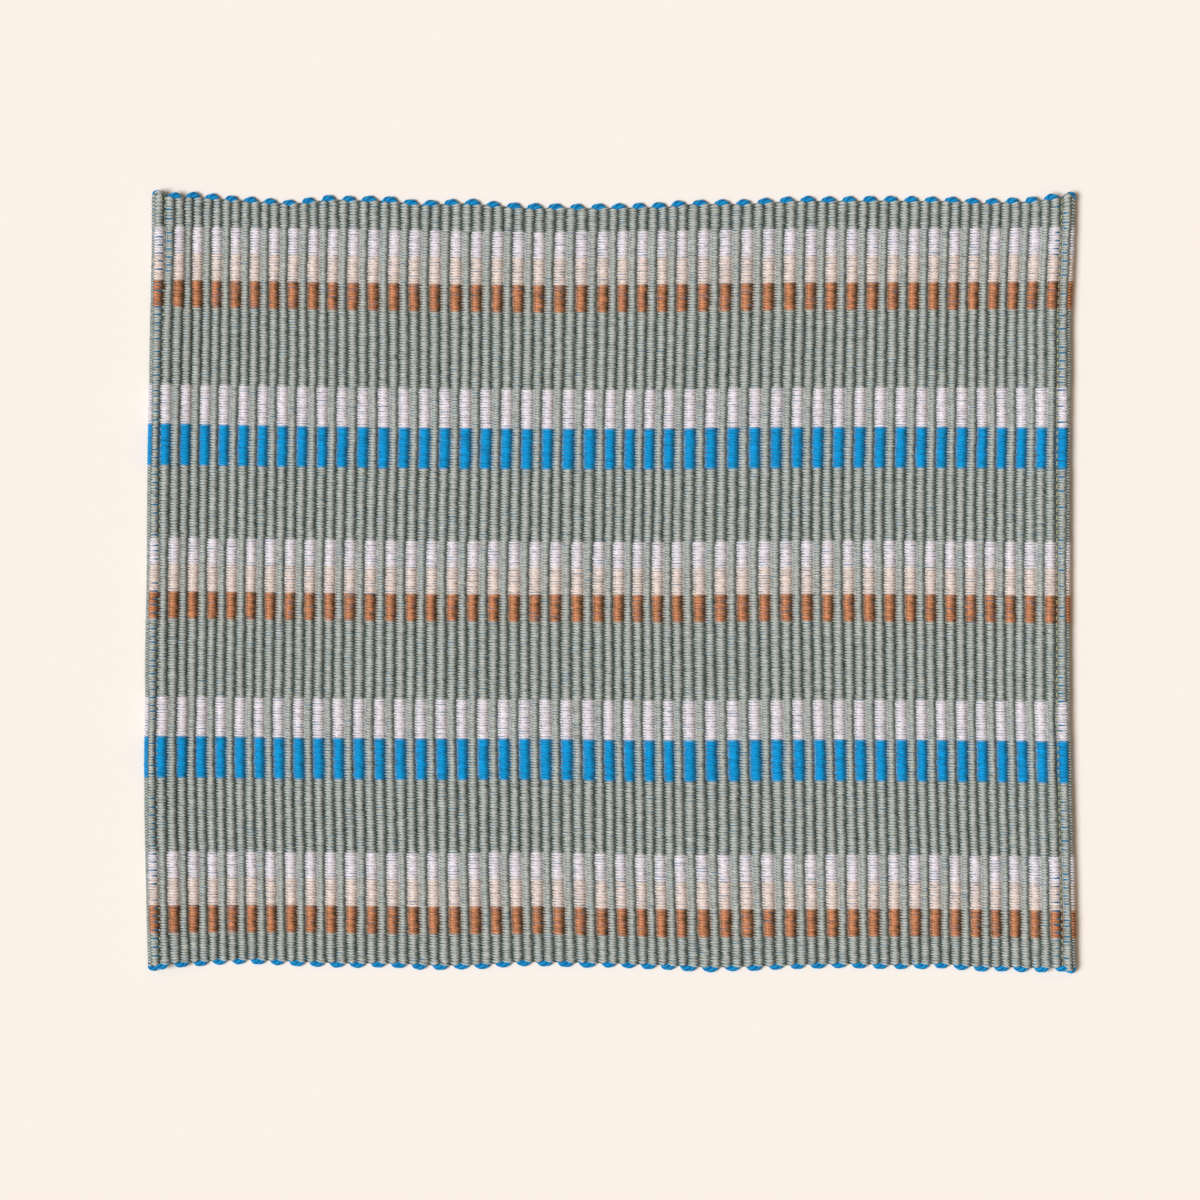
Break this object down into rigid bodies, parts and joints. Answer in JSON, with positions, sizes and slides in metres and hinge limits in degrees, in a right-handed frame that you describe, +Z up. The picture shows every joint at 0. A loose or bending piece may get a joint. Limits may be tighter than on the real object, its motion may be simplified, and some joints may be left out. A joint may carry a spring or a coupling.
{
  "type": "fabric placemat",
  "caption": "Flat rectangular placemat of thick ribbed cotton with coloured cross stripes, looped long edges and a sewn hem folded under at each end.",
  "frame": {"origin": "middle of the bounding box seen from above, at the underside where the cloth lies on the table", "axes": "+X along the longer side, across the ribs, +Y along the ribs to the far edge, +Z up out of the face"},
  "size_m": [0.46, 0.386, 0.0063],
  "materials": {
    "cloth": "matt ribbed cotton, mostly grey-green, with cross stripes in white, peach, rust and blue"
  },
  "bodies": {
    "root": {"mat": "cloth"}
  },
  "joints": []
}
